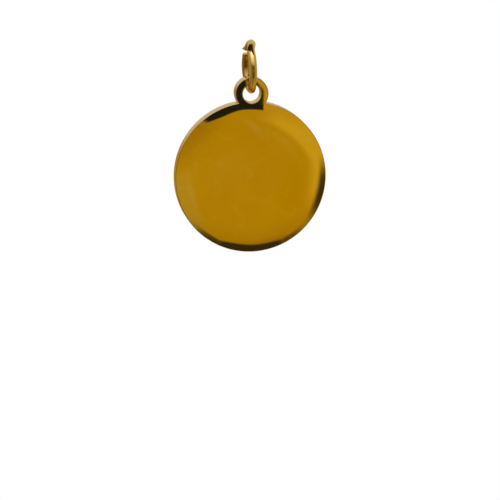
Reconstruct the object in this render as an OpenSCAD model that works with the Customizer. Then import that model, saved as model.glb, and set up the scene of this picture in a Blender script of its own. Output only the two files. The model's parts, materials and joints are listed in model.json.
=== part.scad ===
// Plain disc pendant: a round polished disc with an eye on its rim,
// hanging from an open jump ring of round wire.
// Millimetres, +Z up, the disc faces -Y.
// Origin: the lowest point of the ring's top wire, where a chain carries it.

/* [Disc] */
// Diameter of the disc
disc_d = 20; // [15:0.5:30]
// Thickness of the disc and its eye
disc_t = 2; // [1:0.1:2.4]
// Radius of the rounded edges, outside and round the hole
edge_r = 0.15; // [0.1:0.05:0.25]

/* [Eye] */
// Outside diameter of the eye
eye_d = 4.4; // [4.2:0.1:6]
// Diameter of the hole through the eye
hole_d = 2.4; // [2.3:0.1:2.8]
// Height of the eye's centre above the top of the disc's rim
eye_rise = 1.05; // [0.8:0.05:1.4]

/* [Jump ring] */
// Outside diameter of the ring
ring_d = 7.15; // [7:0.05:9]
// Diameter of the ring's wire
wire_d = 1.05; // [0.8:0.05:1.1]
// Where the square-cut end stops, in degrees above the back of the ring
square_end = 24; // [5:1:26]
// Where the pinched end stops, in degrees above the back of the ring
pinched_end = 41; // [38:1:50]
// Angle between each facet of the pinched end and the wire's run, in degrees
facet_slope = 45; // [35:1:60]

/* [Hanging] */
// Gap left between the wire and the top of the hole
rest_gap = 0.06; // [0.04:0.01:0.15]
// How far the disc has settled to the right of the ring's middle
settle = 0.2; // [0:0.05:0.25]

/* [Hidden] */
$fn = 96;
disc_r = disc_d / 2;
eye_r = eye_d / 2;
hole_r = hole_d / 2;
wire_r = wire_d / 2;
wire_run_r = ring_d / 2 - wire_r;
ring_inner_r = ring_d / 2 - wire_d;
ring_z = -ring_inner_r;
// The hole's straight wall ends here, where its rounded edge begins
wall_y = disc_t / 2 - edge_r;
// Height of the wire's centre inside the hole, at the ends of that wall
wire_z = ring_z - sqrt(pow(ring_inner_r, 2) - pow(wall_y, 2)) - wire_r;
// The wire lies this far from the hole's centre, rest_gap short of its wall
wire_reach = hole_r - wire_r - rest_gap;
hole_z = wire_z - sqrt(pow(wire_reach, 2) - pow(settle, 2));
disc_z = hole_z - eye_rise - disc_r;
// Wire left on the pinched end for its cut to take off, in degrees
spare = 6;

// A flat round with rounded edges, cut along its radius from r_in to r_out
module round_profile(r_in, r_out) {
    round_in = r_in > 0 ? edge_r : 0;
    translate([r_in + round_in, -disc_t / 2])
        square([r_out - edge_r - r_in - round_in, disc_t]);
    translate([r_in, -wall_y])
        square([r_out - r_in, 2 * wall_y]);
    for (side = [-1, 1]) {
        translate([r_out - edge_r, side * wall_y])
            circle(edge_r);
        if (r_in > 0)
            translate([r_in + edge_r, side * wall_y])
                circle(edge_r);
    }
}

// The same round, standing up and facing -Y at height z
module standing_round(r_in, r_out, z) {
    translate([settle, 0, z])
        rotate([90, 0, 0])
            rotate_extrude()
                round_profile(r_in, r_out);
}

// Disc and eye in one piece
module disc() {
    color("goldenrod") {
        difference() {
            standing_round(0, disc_r, disc_z);
            // Room for the eye, whose own ring of metal fills it again
            translate([settle, 0, hole_z])
                rotate([90, 0, 0])
                    cylinder(r = (hole_r + eye_r) / 2, h = 2 * disc_t, center = true);
        }
        standing_round(hole_r, eye_r, hole_z);
    }
}

// What the cutters took to leave a ridge: all that lies past two sloping facets
module pinch_cut() {
    back = wire_d / tan(facet_slope);
    rotate([90, 0, 90])
        linear_extrude(2 * wire_d, center = true)
            polygon([[0, 0], [wire_d, back], [wire_d, -wire_r], [-wire_d, -wire_r], [-wire_d, back]]);
}

// Open ring of round wire in the YZ plane, its angles run from the back up over the top
module jump_ring() {
    color("gold")
        translate([0, 0, ring_z])
            difference() {
                rotate([90, 0, 90])
                    rotate_extrude(angle = 360 + square_end - pinched_end + spare, start = pinched_end - spare)
                        translate([wire_run_r, 0])
                            circle(wire_r);
                translate([0, wire_run_r * cos(pinched_end), wire_run_r * sin(pinched_end)])
                    rotate([pinched_end, 0, 0])
                        pinch_cut();
            }
}

disc();
jump_ring();
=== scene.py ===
import json
import math

import bmesh
import bpy
import numpy as np
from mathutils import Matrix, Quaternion, Vector


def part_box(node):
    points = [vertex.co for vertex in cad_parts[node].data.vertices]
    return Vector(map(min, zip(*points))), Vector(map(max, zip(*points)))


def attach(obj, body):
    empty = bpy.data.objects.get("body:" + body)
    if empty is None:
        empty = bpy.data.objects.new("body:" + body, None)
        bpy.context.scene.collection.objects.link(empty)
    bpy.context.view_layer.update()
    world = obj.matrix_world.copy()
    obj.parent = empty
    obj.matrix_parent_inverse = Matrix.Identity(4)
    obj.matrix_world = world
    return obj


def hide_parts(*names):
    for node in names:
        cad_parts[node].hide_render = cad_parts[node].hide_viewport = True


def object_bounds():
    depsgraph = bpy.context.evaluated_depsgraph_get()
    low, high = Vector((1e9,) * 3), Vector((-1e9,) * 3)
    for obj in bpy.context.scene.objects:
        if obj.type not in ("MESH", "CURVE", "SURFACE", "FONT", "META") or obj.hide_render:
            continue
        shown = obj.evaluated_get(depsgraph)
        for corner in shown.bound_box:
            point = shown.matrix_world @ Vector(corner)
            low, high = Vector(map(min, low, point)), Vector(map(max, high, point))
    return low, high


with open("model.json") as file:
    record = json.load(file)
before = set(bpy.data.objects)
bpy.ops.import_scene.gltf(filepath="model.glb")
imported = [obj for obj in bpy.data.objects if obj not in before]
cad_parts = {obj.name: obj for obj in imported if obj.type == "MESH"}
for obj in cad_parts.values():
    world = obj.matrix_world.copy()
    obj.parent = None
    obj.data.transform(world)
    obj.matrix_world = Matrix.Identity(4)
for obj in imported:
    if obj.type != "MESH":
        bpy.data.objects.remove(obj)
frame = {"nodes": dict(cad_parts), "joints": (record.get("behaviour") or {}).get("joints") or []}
cadLow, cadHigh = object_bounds()
mm = 0.001
print("frame loaded:", ", ".join(sorted(frame["nodes"])))


# Meshes made of grids

meshing = {
    "merge": 0.0002,  # mm, points nearer than this become one
    "sharp": 35,  # degrees, a steeper edge between two faces is shaded as an edge
}


def gridQuads(rows, columns):
    # Quad (i, j) joins four neighbours of a grid that is numbered row by row
    row, column = np.meshgrid(np.arange(rows - 1), np.arange(columns - 1), indexing="ij")
    corner = (row * columns + column).ravel()
    return np.stack([corner, corner + 1, corner + columns + 1, corner + columns], axis=1)


def meshPiece(name, patches, materials):
    # A patch is a grid of points in mm, its UV grid in mm and its material's index
    points, uvs, quads, finish = [], [], [], []
    first = 0
    for grid, uv, index in patches:
        faces = gridQuads(*grid.shape[:2])
        points.append(grid.reshape(-1, 3) * mm)
        uvs.append(uv.reshape(-1, 2)[faces.ravel()] * mm)
        quads.append(faces + first)
        finish.append(np.full(len(faces), index))
        first += grid.shape[0] * grid.shape[1]
    mesh = bpy.data.meshes.new(name)
    mesh.from_pydata(np.concatenate(points).tolist(), [], np.concatenate(quads).tolist())
    mesh.uv_layers.new(name="surface").data.foreach_set("uv", np.concatenate(uvs).ravel())
    for material in materials:
        mesh.materials.append(material)
    mesh.polygons.foreach_set("material_index", np.concatenate(finish))
    # Seams and poles are closed here, then all faces are turned outwards
    shell = bmesh.new()
    shell.from_mesh(mesh)
    bmesh.ops.remove_doubles(shell, verts=shell.verts, dist=meshing["merge"] * mm)
    bmesh.ops.recalc_face_normals(shell, faces=shell.faces)
    shell.to_mesh(mesh)
    shell.free()
    mesh.shade_smooth()
    mesh.set_sharp_from_angle(angle=math.radians(meshing["sharp"]))
    piece = bpy.data.objects.new(name, mesh)
    bpy.context.scene.collection.objects.link(piece)
    print(f"{name}: {len(mesh.polygons)} faces")
    return piece


# Gold finishes. A stretch is the number of grains to the millimetre each way, and a depth is in mm

noiseShape = {
    "detail": 3.0,
    "markDetail": 4.0,
    "smearDistortion": 1.6,
    "smearPeaks": (0.56, 0.68),  # only these high values of the noise leave a smear
}


def node(tree, kind, **settings):
    # A new node. Each setting goes to the socket of that name, or else to the node itself
    made = tree.nodes.new(kind)
    for key, value in settings.items():
        if key in made.inputs:
            made.inputs[key].default_value = value
        else:
            setattr(made, key, value)
    return made


def stretchedNoise(tree, coordinates, stretch, detail=noiseShape["detail"], distortion=0.0):
    # Noise on coordinates in metres, its grains 1 / stretch mm long each way
    mapping = node(tree, "ShaderNodeMapping", Scale=[1 / mm * way for way in stretch])
    tree.links.new(coordinates, mapping.inputs["Vector"])
    noise = node(tree, "ShaderNodeTexNoise", Scale=1.0, Detail=detail, Distortion=distortion)
    tree.links.new(mapping.outputs["Vector"], noise.inputs["Vector"])
    return noise.outputs["Fac"]


def spread(tree, value, low, high, start=0.3, end=0.7):
    # Carries the values from start to end, where nearly all of a noise lies, to those from low to high
    ranged = node(tree, "ShaderNodeMapRange")
    for key, number in {"From Min": start, "From Max": end, "To Min": low, "To Max": high}.items():
        ranged.inputs[key].default_value = number
    tree.links.new(value, ranged.inputs["Value"])
    return ranged.outputs["Result"]


def mixed(tree, amount, first, second):
    # Goes from the first colour to the second; either may be another node's output
    mix = node(tree, "ShaderNodeMix", data_type="RGBA")
    tree.links.new(amount, mix.inputs[0])
    for socket, colour in ((mix.inputs[6], first), (mix.inputs[7], second)):
        if isinstance(colour, tuple):
            socket.default_value = (*colour, 1.0)
        else:
            tree.links.new(colour, socket)
    return mix.outputs[2]


def paintedShadeInside(tree, place, gold, look):
    # Painted shade: the inside of the ring gets a darker gold, starting a way past its pinched end, which
    # stays bright. The cosine of the angle round the wire tells the inside from the outside: it is -1 along
    # the middle of the inside
    split = node(tree, "ShaderNodeSeparateXYZ")
    tree.links.new(place, split.inputs["Vector"])
    turn = node(tree, "ShaderNodeMath", operation="MULTIPLY")
    turn.inputs[1].default_value = 1 / (look["wireRadius"] * mm)
    tree.links.new(split.outputs["Y"], turn.inputs[0])
    side = node(tree, "ShaderNodeMath", operation="COSINE")
    tree.links.new(turn.outputs["Value"], side.inputs[0])
    inside = spread(tree, side.outputs["Value"], look["insideShadeAmount"], 0.0, *look["insideCosines"])
    away = spread(tree, split.outputs["X"], 0.0, 1.0, *(far * mm for far in look["insideFrom"]))
    shadeShare = node(tree, "ShaderNodeMath", operation="MULTIPLY")
    tree.links.new(inside, shadeShare.inputs[0])
    tree.links.new(away, shadeShare.inputs[1])
    return mixed(tree, shadeShare.outputs["Value"], gold, look["insideShadeGold"])


def goldFinish(name, look):
    material = bpy.data.materials.new(name)
    material.use_nodes = True
    tree = material.node_tree
    tree.nodes.clear()
    output = node(tree, "ShaderNodeOutputMaterial")
    shader = node(tree, "ShaderNodeBsdfPrincipled", Metallic=1.0)
    tree.links.new(shader.outputs["BSDF"], output.inputs["Surface"])
    place = node(tree, "ShaderNodeTexCoord").outputs["UV" if look["followsSurface"] else "Object"]
    # Plating is a shade deeper in some places than in others, and wiping leaves pale smears
    cloud = stretchedNoise(tree, place, look["cloudStretch"])
    gold = mixed(tree, spread(tree, cloud, 0.0, 1.0), look["deepGold"], look["paleGold"])
    smears = stretchedNoise(tree, place, look["smearStretch"], distortion=noiseShape["smearDistortion"])
    amount = spread(tree, smears, 0.0, look["smearAmount"], *noiseShape["smearPeaks"])
    gold = mixed(tree, amount, gold, look["smearGold"])
    # Painted shade on the inside of the ring, where the look has one
    if "insideShadeGold" in look:
        gold = paintedShadeInside(tree, place, gold, look)
    tree.links.new(gold, shader.inputs["Base Color"])
    haze = stretchedNoise(tree, place, look["hazeStretch"])
    tree.links.new(spread(tree, haze, *look["roughness"]), shader.inputs["Roughness"])
    # Marks left by polishing or cutting
    marks = stretchedNoise(tree, place, look["markStretch"], noiseShape["markDetail"])
    bump = node(tree, "ShaderNodeBump", Strength=1.0, Distance=look["markDepth"] * mm)
    tree.links.new(marks, bump.inputs["Height"])
    tree.links.new(bump.outputs["Normal"], shader.inputs["Normal"])
    return material


faceLook = {
    "followsSurface": False,
    "deepGold": (0.88, 0.515, 0.115),
    "paleGold": (0.93, 0.560, 0.135),
    "cloudStretch": (0.22, 0.22, 0.22),
    "smearStretch": (0.3, 0.3, 0.35),
    "smearGold": (0.94, 0.595, 0.36),
    "smearAmount": 0.5,
    "hazeStretch": (0.5, 0.5, 0.5),
    "roughness": (0.012, 0.024),
    "markStretch": (0.25, 0.25, 0.25),
    "markDepth": 0.0001,
}
edgeLook = {
    "followsSurface": False,
    "deepGold": (0.90, 0.53, 0.12),
    "paleGold": (0.94, 0.60, 0.17),
    "cloudStretch": (0.8, 0.8, 0.8),
    "smearStretch": (1.5, 0.6, 1.5),
    "smearGold": (0.95, 0.66, 0.22),
    "smearAmount": 0.5,
    "hazeStretch": (3.0, 0.6, 3.0),
    "roughness": (0.10, 0.20),
    "markStretch": (14.0, 0.5, 14.0),
    "markDepth": 0.002,
}
wireLook = {
    "followsSurface": True,
    "deepGold": (0.90, 0.54, 0.12),
    "paleGold": (0.94, 0.60, 0.155),
    "cloudStretch": (0.9, 0.9, 0.9),
    "smearStretch": (1.4, 1.4, 1.0),
    "smearGold": (0.95, 0.66, 0.22),
    "smearAmount": 0.4,
    # Painted shade: the darker gold laid on the inside of the ring, how much of it, and where it lies
    "insideShadeGold": (0.42, 0.20, 0.03),
    "insideShadeAmount": 0.8,
    "insideCosines": (-0.7, 0.05),  # where the painted shade inside is full and where it ends
    "insideFrom": (1.2, 3.0),  # mm from the pinched end, where it starts and where it is full
    "wireRadius": 0.525,  # mm
    "hazeStretch": (1.2, 3.0, 1.0),
    "roughness": (0.09, 0.16),
    "markStretch": (0.8, 1.2, 1.0),
    "markDepth": 0.006,
}
mirrorGold = goldFinish("mirror_gold", faceLook)
cutGold = goldFinish("cut_edge_gold", edgeLook)
wireGold = goldFinish("wire_gold", wireLook)
print("finishes made")


# Disc with its eye

discShape = {
    "holeRadius": 1.2,  # mm, as every length here
    "edgeWidth": 0.1,  # of the rounded edge, seen from the front
    "edgeDepth": 0.08,
    "edgeTilt": 1.755,  # degrees that the rounded edge leans where it leaves the face
    "pillowTilt": 1.3,  # degrees that the face leans where it is measured
    "pillowTiltAt": 9.0,  # distance from the middle of that measure
    "pillowPower": 3.3,  # the tilt grows with this power of the distance
    "pillowEnd": 9.35,  # past this distance the lean stays the same, up the eye too
    "waveHeight": 0.0006,
    "waveLength": 6.5,
    "waveAlong": (1.0, 0.83),  # how closely the waves follow one another, along X and along Z
    "wavePhase": (0.7, 1.9),  # radians
    "slantAlong": (0.6, -0.9),  # the same for a slanting wave of half the height
    "backPillow": 0.15,  # the back falls by this share of the front
}
# Points along each part of the disc's grids
discPoints = {"outline": 361, "eye": 121, "seam": 49, "face": 49, "eyeFace": 17, "rounding": 10, "wall": 5}
discLow, discHigh = (np.array(corner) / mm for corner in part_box("disc"))
hinge = np.array(frame["joints"][0]["pos_m"]) / mm
discRadius = (discHigh[0] - discLow[0]) / 2
discX = (discHigh[0] + discLow[0]) / 2
discZ = discLow[2] + discRadius
halfThick = (discHigh[1] - discLow[1]) / 2
eyeZ = hinge[2]
eyeRadius = discHigh[2] - eyeZ
eyeReach = eyeZ - discZ


def faceDrop(x, z):
    # How far the polished face falls from flat: the integral of a tilt that grows with a power of
    # the distance from the middle, then a straight slope, and faint crossing waves
    distance = np.hypot(x - discX, z - discZ)
    tilt = math.radians(discShape["pillowTilt"])
    at, power, end = (discShape[key] for key in ("pillowTiltAt", "pillowPower", "pillowEnd"))
    bowl = tilt * at / (power + 1) * (np.minimum(distance, end) / at) ** (power + 1)
    slope = tilt * (end / at) ** power * np.maximum(distance - end, 0)
    turn = 2 * math.pi / discShape["waveLength"]
    waves = 1
    for place, along, phase in zip((x, z), discShape["waveAlong"], discShape["wavePhase"]):
        waves = waves * np.sin(turn * along * place + phase)
    slantX, slantZ = discShape["slantAlong"]
    slant = np.sin(turn * (slantX * x + slantZ * z)) / 2
    highest = 1.5  # of the waves and the slant together, so that the face never rises above flat
    return bowl + slope + discShape["waveHeight"] * (highest + waves + slant)


def cornerAngles(inset):
    # Where the disc's and the eye's circles meet once both are smaller by the inset:
    # the angle from the top of the disc, and the angle from the foot of the eye
    big = discRadius - inset
    small = eyeRadius - inset
    fromTop = np.arccos((big**2 + eyeReach**2 - small**2) / (2 * big * eyeReach))
    fromFoot = np.arccos((small**2 + eyeReach**2 - big**2) / (2 * small * eyeReach))
    return fromTop, fromFoot


def discArc(inset, share):
    # Clockwise round the disc's circle, from the right-hand corner to the left-hand one
    fromTop, _ = cornerAngles(inset)
    angle = fromTop + share * (2 * math.pi - 2 * fromTop)
    radius = discRadius - inset
    return np.stack([discX + radius * np.sin(angle), discZ + radius * np.cos(angle)], axis=-1)


def eyeArc(inset, share):
    # Round the eye's circle and over its top, from the left-hand corner to the right-hand one
    _, fromFoot = cornerAngles(inset)
    angle = -fromFoot - share * (2 * math.pi - 2 * fromFoot)
    radius = eyeRadius - inset
    return np.stack([discX + radius * np.sin(angle), eyeZ - radius * np.cos(angle)], axis=-1)


def seamArc(inset, share):
    # The foot of the eye's circle, inside the disc, from the left-hand corner to the right-hand one
    _, fromFoot = cornerAngles(inset)
    angle = fromFoot * (2 * share - 1)
    radius = eyeRadius - inset
    return np.stack([discX + radius * np.sin(angle), eyeZ - radius * np.cos(angle)], axis=-1)


def standUp(flat, depth):
    # Puts points of the XZ plane at the depth given, which counts from the middle of the sheet
    depth = np.broadcast_to(depth, flat.shape[:-1])
    return np.stack([flat[..., 0], -depth, flat[..., 1]], axis=-1)


def withUv(grid, finishIndex):
    # A patch whose UV map is the grid seen from the front
    return grid, np.stack([grid[..., 0], grid[..., 2]], axis=-1), finishIndex


def halfDisc(pillowShare):
    # One side of the disc and eye, from the face to the middle of the sheet
    startTilt = math.radians(discShape["edgeTilt"])
    tilts = np.linspace(startTilt, math.pi / 2, discPoints["rounding"])[:, None]
    insets = discShape["edgeWidth"] * (1 - np.sin(tilts))
    faceInset = insets[0, 0]
    around = np.linspace(0, 1, discPoints["outline"])
    aroundEye = np.linspace(0, 1, discPoints["eye"])
    alongSeam = np.linspace(0, 1, discPoints["seam"])
    toRim = np.sin(np.linspace(0, math.pi / 2, discPoints["face"]))[:, None, None]
    discMiddle = np.array([discX, discZ])
    eyeMiddle = np.array([discX, eyeZ])

    # The face of the disc: straight rays from its middle to its outline and to the seam
    outline = np.concatenate([discArc(faceInset, around), seamArc(faceInset, alongSeam)[1:]])
    discFace = discMiddle + toRim * (outline - discMiddle)
    # The face of the eye: rays from the hole to the eye's outline
    eyeOutline = np.concatenate([seamArc(faceInset, alongSeam), eyeArc(faceInset, aroundEye[::-1])[1:]])
    eyeInner = discShape["holeRadius"] + faceInset
    eyeOuter = eyeRadius - faceInset
    ray = (eyeOutline - eyeMiddle) / eyeOuter
    eyeFace = eyeMiddle + np.linspace(eyeInner, eyeOuter, discPoints["eyeFace"])[:, None, None] * ray

    def drop(flat):
        return pillowShare * faceDrop(flat[..., 0], flat[..., 1])

    def roundingAndWall(flats):
        # Carries an outline over the rounded edge, a quarter of an ellipse from the face to the wall,
        # and then straight to the middle of the sheet
        depths = halfThick - drop(flats[0]) - discShape["edgeDepth"] * (math.cos(startTilt) - np.cos(tilts))
        walls = np.linspace(1, 0, discPoints["wall"])[:, None] * depths[-1]
        wallFlats = np.broadcast_to(flats[-1], (discPoints["wall"], *flats[-1].shape))
        return standUp(flats, depths), standUp(wallFlats, walls)

    outer = np.concatenate([discArc(insets, around), eyeArc(insets, aroundEye)[:, 1:]], axis=1)
    hole = eyeMiddle + (discShape["holeRadius"] + insets)[..., None] * ray
    outerRound, outerWall = roundingAndWall(outer)
    holeRound, holeWall = roundingAndWall(hole)
    polished, cut = 0, 1
    return [
        withUv(standUp(discFace, halfThick - drop(discFace)), polished),
        withUv(standUp(eyeFace, halfThick - drop(eyeFace)), polished),
        withUv(outerRound, polished),
        withUv(outerWall, cut),
        withUv(holeRound, polished),
        withUv(holeWall, cut),
    ]


def discPatches():
    # The back is a mirror image of the front, with less of a pillow
    back = [(grid * [1, -1, 1], uv, index) for grid, uv, index in halfDisc(discShape["backPillow"])]
    return halfDisc(1.0) + back


disc = meshPiece("polished_disc", discPatches(), [mirrorGold, cutGold])
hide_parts("disc")
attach(disc, "disc")


# Jump ring

ringShape = {
    "squareEnd": 24,  # degrees above the back of the ring
    "pinchedEnd": 41,
    "outerFacet": 52,  # slope of the pinch on the outside of the ring, degrees
    "innerFacet": 70,
    "ridgeOffset": 0.08,  # mm, the ridge lies this far outside the wire's middle
    "burr": 0.2,  # mm that the ridge sticks out to the left
    "burrLength": 0.14,
    "capRadius": 0.06,
    "bend": 0.14,  # mm that the front and the back are bent to the left, and top and foot to the right
    # Each of these has its size in mm, and its middle and half width in degrees round the ring
    "belly": (0.13, 188, 24),  # the front bulges to the right
    "shoulder": (0.24, 126, 20),  # the curve from the front to the top is pushed to the left
    "flatFoot": (0.09, 270, 14),  # the foot is flattened
}
ringPoints = {
    "around": 73,
    "tip": (0.2, 9),  # mm from the pinched end, and points up to there
    "pinch": (1.0, 17),
    "run": 320,
    "cap": 7,
}
ringLow, ringHigh = (np.array(corner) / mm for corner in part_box("jump_ring"))
wireRadius = (ringHigh[0] - ringLow[0]) / 2
runRadius = (ringHigh[2] - ringLow[2]) / 2 - wireRadius
ringZ = (ringHigh[2] + ringLow[2]) / 2


def bell(value, height, middle, width):
    # The height times e to the power of minus the square of the distance from the middle, in widths
    return height * np.exp(-(((value - middle) / width) ** 2))


def alongRing(angle, outward, sideways):
    # Angle runs from the back of the ring up over its top; outward and sideways are in the wire's section
    belly, shoulder, flatFoot = (
        bell(np.degrees(angle), *ringShape[key]) for key in ("belly", "shoulder", "flatFoot")
    )
    radius = runRadius + outward - flatFoot
    return np.stack([
        sideways - ringShape["bend"] * np.cos(2 * angle) + belly - shoulder,
        radius * np.cos(angle),
        ringZ + radius * np.sin(angle),
    ], axis=-1)


def ringPatches():
    # A circle carried along the ring. At the pinched end two facets cut it down to a ridge, and at
    # the square end it narrows by a small quarter round and closes flat
    start = math.radians(ringShape["pinchedEnd"])
    end = math.radians(360 + ringShape["squareEnd"])
    length = (end - start) * runRadius
    cap = ringShape["capRadius"]
    (tipLength, tipPoints), (pinchLength, pinchPoints) = ringPoints["tip"], ringPoints["pinch"]
    tip = np.linspace(0, tipLength, tipPoints)
    pinch = np.linspace(tipLength, pinchLength, pinchPoints)[1:]
    run = np.linspace(pinchLength, length - cap, ringPoints["run"])[1:]
    turnIn = np.linspace(0, math.pi / 2, ringPoints["cap"])[1:]
    straight = np.concatenate([tip, pinch, run])
    along = np.concatenate([straight, length - cap + cap * np.sin(turnIn), [length]])[:, None]
    shrink = np.concatenate([0 * straight, cap * (1 - np.cos(turnIn)), [wireRadius]])[:, None]
    around = np.linspace(math.pi, 3 * math.pi, ringPoints["around"])
    radius = wireRadius - shrink
    outward = radius * np.cos(around)
    sideways = radius * np.sin(around)
    ridge = ringShape["ridgeOffset"]
    highest = ridge + along * math.tan(math.radians(ringShape["outerFacet"]))
    lowest = ridge - along * math.tan(math.radians(ringShape["innerFacet"]))
    outward = np.clip(outward, lowest, highest)
    fin = bell(along, ringShape["burr"], 0, ringShape["burrLength"])
    sideways = sideways + np.where(sideways < 0, fin * sideways / wireRadius, 0)
    grid = alongRing(start + along / runRadius, outward, sideways)
    uv = np.stack(np.broadcast_arrays(along, around * wireRadius), axis=-1)
    return [(grid, uv, 0)]


ring = meshPiece("open_jump_ring", ringPatches(), [wireGold])
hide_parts("jump_ring")
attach(ring, "ring")


# Camera

photoView = {
    "azimuth": -8.35,  # degrees, as the pendant is seen
    "elevation": 9.2,
    "roll": 0.93,
    "distance": 0.6,  # metres
    "nearest": 0.01,
    "pixelsPerMm": 7.595,
    "seatPixel": (250.35, 47.6),  # where the chain seat shows, in the 500 x 500 picture
    "picture": 500,
    "sensor": 36.0,
}


def directionTo(azimuth, elevation):
    # The unit vector that points from the pendant to that side
    turn, rise = math.radians(azimuth), math.radians(elevation)
    return Vector((math.sin(turn) * math.cos(rise), -math.cos(turn) * math.cos(rise), math.sin(rise)))


def addCamera(view):
    camera = bpy.data.objects.new("camera", bpy.data.cameras.new("camera"))
    bpy.context.scene.collection.objects.link(camera)
    middle = Vector((0, 0, (cadLow[2] + cadHigh[2]) / 2))
    camera.location = middle + view["distance"] * directionTo(view["azimuth"], view["elevation"])
    focal = view["pixelsPerMm"] / mm * view["distance"]
    camera.data.sensor_width = view["sensor"]
    camera.data.lens = focal * view["sensor"] / view["picture"]
    camera.data.clip_start = view["nearest"]
    # Looks straight at the seat, then turns until the seat shows at its own pixel
    half = view["picture"] / 2
    toRight = math.atan((view["seatPixel"][0] - half) / focal)
    toTop = math.atan((half - view["seatPixel"][1]) / focal)
    camera.rotation_mode = "QUATERNION"
    camera.rotation_quaternion = (
        (-camera.location).to_track_quat("-Z", "Y")
        @ Quaternion((0, 0, 1), math.radians(view["roll"]))
        @ Quaternion((0, 1, 0), toRight)
        @ Quaternion((1, 0, 0), -toTop)
    )
    bpy.context.scene.camera = camera


addCamera(photoView)
print("camera set")


# Studio: a tent of soft light round the pendant, and panels inside it, all seen only as reflections.
# Azimuths count from the front towards the right, and elevations from level, in degrees

tentMiddle = np.array([discX, 0, discZ]) * mm


def ramp(value, start, end):
    # Rises smoothly from 0 at the start to 1 at the end, as 3 t^2 - 2 t^3. The end may be the lower one
    share = np.clip((value - start) / (end - start), 0, 1)
    return share * share * (3 - 2 * share)


def blurredEdge(value, edge, blur):
    # 0 before the edge and 1 past it, with a ramp across it as wide as the blur
    return ramp(value, edge - blur / 2, edge + blur / 2)


def placeShare(place, azimuth, elevation):
    # How far a place's ramps have risen. Up is a pair of elevations. Across is a pair of azimuths, or
    # of distances to either side of the place's middle where it has one
    if "middle" in place:
        azimuth = abs((azimuth - place["middle"] + 180) % 360 - 180)
    share = ramp(elevation, *place["up"])
    if "across" in place:
        share = share * ramp(azimuth, *place["across"])
    return share


def studioSurface(name, grid, material):
    # A surface of the studio, from its grid of points in metres
    mesh = bpy.data.meshes.new(name)
    mesh.from_pydata(grid.reshape(-1, 3).tolist(), [], gridQuads(*grid.shape[:2]).tolist())
    mesh.materials.append(material)
    surface = bpy.data.objects.new(name, mesh)
    bpy.context.scene.collection.objects.link(surface)
    return surface


def lightMaterial(name, colour=None):
    # Sends out one colour, or the light kept at the surface's own points where none is given
    material = bpy.data.materials.new(name)
    material.use_nodes = True
    material.cycles.emission_sampling = "NONE"
    tree = material.node_tree
    tree.nodes.clear()
    emission = node(tree, "ShaderNodeEmission", Strength=1.0)
    if colour:
        emission.inputs["Color"].default_value = (*colour, 1.0)
    else:
        light = node(tree, "ShaderNodeAttribute", attribute_name="light")
        tree.links.new(light.outputs["Color"], emission.inputs["Color"])
    output = node(tree, "ShaderNodeOutputMaterial")
    tree.links.new(emission.outputs["Emission"], output.inputs["Surface"])
    return material


def lightObject(name, azimuth, elevation, radius, light):
    # A patch of a sphere round the pendant, one point for each azimuth and elevation, that
    # sends out the light given for each point as red, green and blue
    turn, rise = np.radians(azimuth), np.radians(elevation)
    points = tentMiddle + radius * np.stack([
        np.sin(turn) * np.cos(rise),
        -np.cos(turn) * np.cos(rise),
        np.sin(rise),
    ], axis=-1)
    panel = studioSurface(name, points, lightMaterial(name))
    colours = np.concatenate([light, np.ones_like(light[..., :1])], axis=-1)
    panel.data.attributes.new("light", "FLOAT_COLOR", "POINT").data.foreach_set("color", colours.ravel())
    panel.visible_camera = False


# The tent's walls by azimuth: how bright they are, the shares of green and blue in that, and how high
# the dark roof starts
walls = {
    "azimuth": (-180, -150, -145, -118, -93, -84, -61, -50, -20, -5, 12, 45, 75, 120, 150, 180),
    "red": (0.62, 0.50, 0.46, 0.34, 0.32, 0.32, 0.23, 0.20, 0.15, 0.14, 0.13, 0.28, 0.42, 0.46, 0.62, 0.62),
    "green": (1, 1, 1, 1, 1, 1, 0.97, 0.95, 0.86, 0.84, 0.82, 0.90, 0.95, 1, 1, 1),
    "blue": (0.9, 0.9, 0.9, 0.8, 0.7, 0.65, 0.55, 0.5, 0.3, 0.25, 0.25, 0.45, 0.9, 0.9, 0.9, 0.9),
    "roof": (62, 30, 4, 24, 44, 50, 60, 64, 72, 75, 75, 56, 42, 44, 54, 62),
}
roof = {"blur": 5, "colour": (0.03, 0.018, 0.014)}
tent = {"radius": 1.05, "columns": 241, "rows": 121}
# Places on the walls that take a part of the light, and of its shares of green and blue
tints = {
    "lowBack": {"middle": 180, "across": (55, 20), "up": (7, -5), "takes": (0.3, 0.32, 0.9)},
    "highBack": {"middle": 180, "across": (55, 20), "up": (24, 36), "takes": (0, 0, 0.6)},
    "lowLeft": {"middle": -130, "across": (50, 25), "up": (-14, -28), "takes": (0.6, 0.3, 0.75)},
    "lowRight": {"middle": 115, "across": (60, 35), "up": (-14, -26), "takes": (0.15, 0.2, 0.85)},
}
lowFront = {"middle": 0, "across": (160, 125), "up": (-36, -50), "adds": 0.08}
# The softbox up in front, by azimuth and by elevation. It is cooler higher up
softbox = {
    "azimuth": (-115, -96, -75, -50, -38, 20, 45, 60, 80),
    "across": (0, 0.28, 0.42, 0.85, 1, 1, 0.65, 0.4, 0),
    "elevation": (10, 17, 23, 33, 40, 47, 58, 90),
    "up": (0, 0.33, 0.45, 0.75, 0.82, 1.15, 1.6, 1.6),
    "warmColour": (1, 1.02, 0.7),
    "coolColour": (1, 1.10, 1.8),
    "cooling": (14, 32),
}


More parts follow.
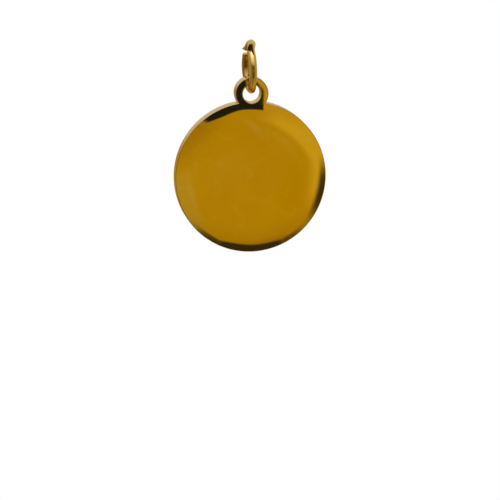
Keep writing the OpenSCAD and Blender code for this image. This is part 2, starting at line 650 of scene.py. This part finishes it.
def tentLight(azimuth, elevation):
    # The walls' own light with its tinted places, then the softbox added, and all of it dimmed above
    # the edge of the roof
    red, green, blue, roofEdge = (
        np.interp(azimuth, walls["azimuth"], walls[column]) for column in ("red", "green", "blue", "roof")
    )
    wall = np.stack([red, green, blue], axis=-1)
    for tint in tints.values():
        wall = wall * (1 - placeShare(tint, azimuth, elevation)[..., None] * np.array(tint["takes"]))
    wall[..., 0] += lowFront["adds"] * placeShare(lowFront, azimuth, elevation)
    wall[..., 1:] *= wall[..., :1]
    soft = np.interp(azimuth, softbox["azimuth"], softbox["across"], left=0, right=0)
    soft = soft * np.interp(elevation, softbox["elevation"], softbox["up"])
    cool = ramp(elevation, *softbox["cooling"])[..., None]
    colour = (1 - cool) * np.array(softbox["warmColour"]) + cool * np.array(softbox["coolColour"])
    dark = blurredEdge(elevation, roofEdge, roof["blur"])[..., None]
    return (wall + soft[..., None] * colour) * (1 - dark) + np.array(roof["colour"]) * dark


def addTent():
    # The whole sphere, from straight down to straight up
    azimuth, elevation = np.meshgrid(
        np.linspace(-180, 180, tent["columns"]),
        np.linspace(-90, 90, tent["rows"]),
    )
    lightObject("tent", azimuth, elevation, tent["radius"], tentLight(azimuth, elevation))


def lightPanel(name, azimuths, foot, head, light, leftLean=0.0, radius=1.0, rows=49):
    # A panel between two azimuths. Foot and head are elevations, the head's may be a function of the
    # azimuth, and light is a colour or a function of both. Its left side leans by so many degrees of
    # azimuth for each degree above the foot
    across = np.linspace(0, 1, 1 + 3 * (rows - 1) // 2)[None, :]
    up = np.linspace(0, 1, rows)[:, None]
    azimuth = azimuths[0] + (azimuths[1] - azimuths[0]) * across + 0 * up
    high = head(azimuth) if callable(head) else head
    elevation = foot + (high - foot) * up + 0 * across
    azimuth = azimuth + leftLean * (1 - across) * (elevation - foot)
    if callable(light):
        colours = light(azimuth, elevation)
    else:
        colours = np.broadcast_to(np.array(light), (*azimuth.shape, 3))
    lightObject(name, azimuth, elevation, radius, colours)


# The window's own light, and the bright band that bends round its upper right
window = {
    "light": 0.47,
    "green": 0.80,
    "greenPower": 1.3,  # brighter places are yellower
    "blue": 0.02,
    "places": (  # shares of light that are taken or added
        {"across": (8.0, 4.8), "up": (-9.6, -6.6), "adds": -0.2},
        {"up": (-11, -12.8), "adds": -0.1},
        {"across": (6, 10), "up": (-12.6, -13.5), "adds": -0.2},
    ),
    "paleLeft": {"across": (6.2, 4.6), "up": (-8.8, -9.8), "adds": (0, 0.078, 0.13)},
    "patchColour": (0.015, 0.045, 0.065),
}
band = {
    "light": 0.28,
    "blue": 0.35,
    "dimmer": 0.13,  # near the head
    "dimmerUp": (-7, -5.7),
    "edge": 11.4,  # azimuth of its left edge at the foot
    "bendLeft": 2.4,
    "bendUp": (-8.9, -6.7),
    "blur": 1.3,
    "foot": (-11.7, -9.7),
}
# The edges of the window, and the dark past them
windowHead = {
    "level": -5.62,
    "step": 0.5,  # down to the left
    "stepAcross": (7.9, 6.4),
    "blur": 0.16,
    "end": 9.0,  # azimuth where the dark above it ends on the right
    "endBlur": 0.04,
}
windowFoot = {
    "level": -13.48,
    "left": {"from": 6.6, "wide": 2.8, "slope": 0.6},
    "right": {"from": 10.5, "wide": 2.6, "slope": 0.68},
    "blur": 0.3,
    "sideBlur": 0.5,  # added to both sides of the middle
    "sideAcross": (2.8, 3.8),
}
windowSide = {
    "azimuth": 12.42,
    "lean": 0.14,  # degrees to the left for each degree down
    "leanBelow": -10.0,
    "step": 0.35,  # out to the right, higher up
    "stepUp": (-9.9, -8.5),
    "blur": 0.85,
    "head": (-8.0, -8.7),  # it ends upwards here
}
windowDark = {
    "middle": 8.5,
    "colour": (0.036, 0.0342, 0.0252),
    # Shares of that colour that the lower corners and the dark above the head add
    "corners": {"middle": 8.5, "across": (2.8, 3.7), "up": (-11.6, -12.4), "adds": 1.25},
    "above": -0.5,
}
# Pale and dull patches in the window's light. Long and wide are half sizes and turn is from level, all
# in degrees
patches = {
    "azimuth": (8.45, 5.35, 5.75, 5.85, 7.6, 9.75, 9.9),
    "elevation": (-7.55, -10.6, -11.9, -9.1, -9.4, -8.4, -10.3),
    "long": (0.75, 0.75, 0.4, 0.35, 0.8, 0.7, 1.1),
    "wide": (0.17, 0.28, 0.3, 0.06, 0.5, 0.3, 0.55),
    "turn": (-62, 95, 0, 100, 20, -50, 80),
    "strength": (1.0, 0.9, 0.5, 0.7, 0.3, 0.4, -0.35),
}


def patchSum(azimuth, elevation):
    # Each patch fades out like a bell curve, along its length and across it
    total = 0 * azimuth
    for middle, height, long, wide, turn, strength in zip(*patches.values()):
        across, up, slope = azimuth - middle, elevation - height, math.radians(turn)
        alongIt = across * math.cos(slope) + up * math.sin(slope)
        acrossIt = up * math.cos(slope) - across * math.sin(slope)
        total = total + bell(alongIt, strength, 0, long) * bell(acrossIt, 1, 0, wide)
    return total


def headLine(azimuth):
    # Level on the right, and a step lower on the left
    return windowHead["level"] - windowHead["step"] * ramp(azimuth, *windowHead["stepAcross"])


def footLine(azimuth):
    # Level in the middle, and rising along a straight line for a way on both sides
    left, right = windowFoot["left"], windowFoot["right"]
    pastLeft = np.clip(left["from"] - azimuth, 0, left["wide"])
    pastRight = np.clip(azimuth - right["from"], 0, right["wide"])
    return windowFoot["level"] + left["slope"] * pastLeft + right["slope"] * pastRight


def sideLine(elevation):
    # The azimuth of the right side, which leans in near the foot and steps out higher up
    lean = windowSide["lean"] * np.maximum(windowSide["leanBelow"] - elevation, 0)
    return windowSide["azimuth"] - lean + windowSide["step"] * ramp(elevation, *windowSide["stepUp"])


def bandLight(azimuth, elevation):
    # Past a blurred edge that bends to the left higher up, fading out at its foot
    edge =band["edge"] - band["bendLeft"] * ramp(elevation, *band["bendUp"])
    light = band["light"] - band["dimmer"] * ramp(elevation, *band["dimmerUp"])
    return light * blurredEdge(azimuth, edge, band["blur"]) * ramp(elevation, *band["foot"])


def windowLight(azimuth, elevation):
    # Gold inside the window's edges, with its band, its paler and dimmer places and its patches, and
    # dark past its head on the left, its foot and its right side
    bright = bandLight(azimuth, elevation)
    share = 1 + bright
    for place in window["places"]:
        share = share + place["adds"] * placeShare(place, azimuth, elevation)
    gold = np.stack([
        share,
        window["green"] * share ** window["greenPower"],
        window["blue"] + band["blue"] * bright,
    ], axis=-1)
    pale = placeShare(window["paleLeft"], azimuth, elevation)[..., None]
    gold = window["light"] * (gold + pale * np.array(window["paleLeft"]["adds"]))
    gold = gold + patchSum(azimuth, elevation)[..., None] * np.array(window["patchColour"])

    fromMiddle = abs(azimuth - windowDark["middle"])
    footBlur = windowFoot["blur"] + windowFoot["sideBlur"] * ramp(fromMiddle, *windowFoot["sideAcross"])
    beyond = blurredEdge(azimuth, sideLine(elevation), windowSide["blur"])
    beyond = beyond * ramp(elevation, *windowSide["head"])
    above =ramp(elevation - headLine(azimuth), -windowHead["blur"], 0)
    above = above * ramp(azimuth, windowHead["end"], windowHead["end"] - windowHead["endBlur"])
    lit = (blurredEdge(elevation, footLine(azimuth), footBlur) * (1 - beyond) * (1 - above))[..., None]
    corners = windowDark["corners"]
    grey = 1 + corners["adds"] * placeShare(corners, azimuth, elevation) + windowDark["above"] * above
    return np.maximum(gold, 0) * lit + grey[..., None] * np.array(windowDark["colour"]) * (1 - lit)


frontColours = {
    "glow": (0.53, 0.43, 0.05),  # above the window's head, on the right
    "dark": (0.0135, 0.018, 0.038),  # above that
    "foot": (0.036, 0.035, 0.029),  # below the window
}
# Round the window all light fades into the tent's: each pair runs from the outside to where it is full
fades = {"left": (-7, 2), "right": (23, 14), "top": (8, -3), "bottom": (-45, -36)}
glowHead = -4.0
glowBend = -5.02  # its left side leans further above this
panelFoot = -16


def intoTent(azimuth, elevation, light):
    # The light given where all four fades are full, and the tent's own outside them
    share =ramp(azimuth, *fades["left"]) * ramp(azimuth, *fades["right"])
    share = (share * ramp(elevation, *fades["top"]) * ramp(elevation, *fades["bottom"]))[..., None]
    return light * share + tentLight(azimuth, elevation) * (1 - share)


def darkLight(azimuth, elevation):
    return intoTent(azimuth, elevation, np.array(frontColours["dark"]))


def footLight(azimuth, elevation):
    return intoTent(azimuth, elevation, np.array(frontColours["foot"]))


def sideLight(azimuth, elevation):
    # Carries on to the side what the window and the dark above and below it show at their edge
    edge = np.clip(azimuth, fades["left"][1], fades["right"][1])
    onRight = edge > windowHead["end"]
    light = windowLight(edge, elevation)
    shown = {
        "glow": (elevation > headLine(edge)) & onRight,
        "dark": elevation > np.where(onRight, glowHead, headLine(edge)),
        "foot": elevation < panelFoot,
    }
    for colour, where in shown.items():
        light = np.where(where[..., None], frontColours[colour], light)
    return intoTent(azimuth, elevation, light)


# Where two panels overlap, the one with the smaller radius, in metres, is the one that shows
front = (fades["left"][1], fades["right"][1])
panelBottom, panelTop = fades["bottom"][0], fades["top"][0]
glow = frontColours["glow"]
lightPanel("window", front, foot=panelFoot, head=headLine, light=windowLight, rows=161)
top, upper = (8.97, front[1]), (9.01, front[1])
lightPanel("window_top", top, foot=-5.66, head=glowBend, light=glow, leftLean=0.06, radius=1.002)
lightPanel("window_upper", upper, foot=glowBend, head=glowHead, light=glow, leftLean=-1.75)
lightPanel("dark_front", front, foot=-8, head=panelTop, light=darkLight, radius=1.01)
lightPanel("dark_foot", front, foot=panelBottom, head=-15.9, light=footLight, radius=1.01)
for side, azimuths in {"left_side": fades["left"], "right_side": fades["right"][::-1]}.items():
    lightPanel(side, azimuths, foot=panelBottom, head=panelTop, light=sideLight, radius=1.02, rows=161)
addTent()
print("light tent and panels hung")


# Floor and room

floorShape = {
    "height": -0.05,  # metres, as all lengths here
    "wide": 0.8,  # radius of the flat part, and how far the dome rises above the bend
    "bend": 0.4,
    "colour": (1.0, 1.0, 1.0),
}
roomColour = (0.13, 0.14, 0.15)


def addFloor():
    # A round pale floor that curves up into a wall and a dome: a profile turned about the Z axis
    wide, bend = floorShape["wide"], floorShape["bend"]
    quarter = np.linspace(0, math.pi / 2, 13)
    turn = np.linspace(0, 2 * math.pi, 97)
    radii = np.concatenate([[0], wide + bend * np.sin(quarter[:-1]), (wide + bend) * np.cos(quarter)])
    heights = np.concatenate([[0], bend - bend * np.cos(quarter[:-1]), bend + wide * np.sin(quarter)])
    grid = np.stack([
        radii[:, None] * np.cos(turn),
        radii[:, None] * np.sin(turn),
        floorShape["height"] + heights[:, None] + 0 * turn,
    ], axis=-1)
    floor = studioSurface("floor", grid, lightMaterial("pale_cloth", floorShape["colour"]))
    floor.visible_glossy = False
    floor.visible_shadow = False


addFloor()
world = bpy.data.worlds.new("dim_room")
world.use_nodes = True
world.node_tree.nodes["Background"].inputs["Color"].default_value = (*roomColour, 1.0)
bpy.context.scene.world = world
bpy.context.scene.view_settings.view_transform = "Standard"
print("floor and room ready")
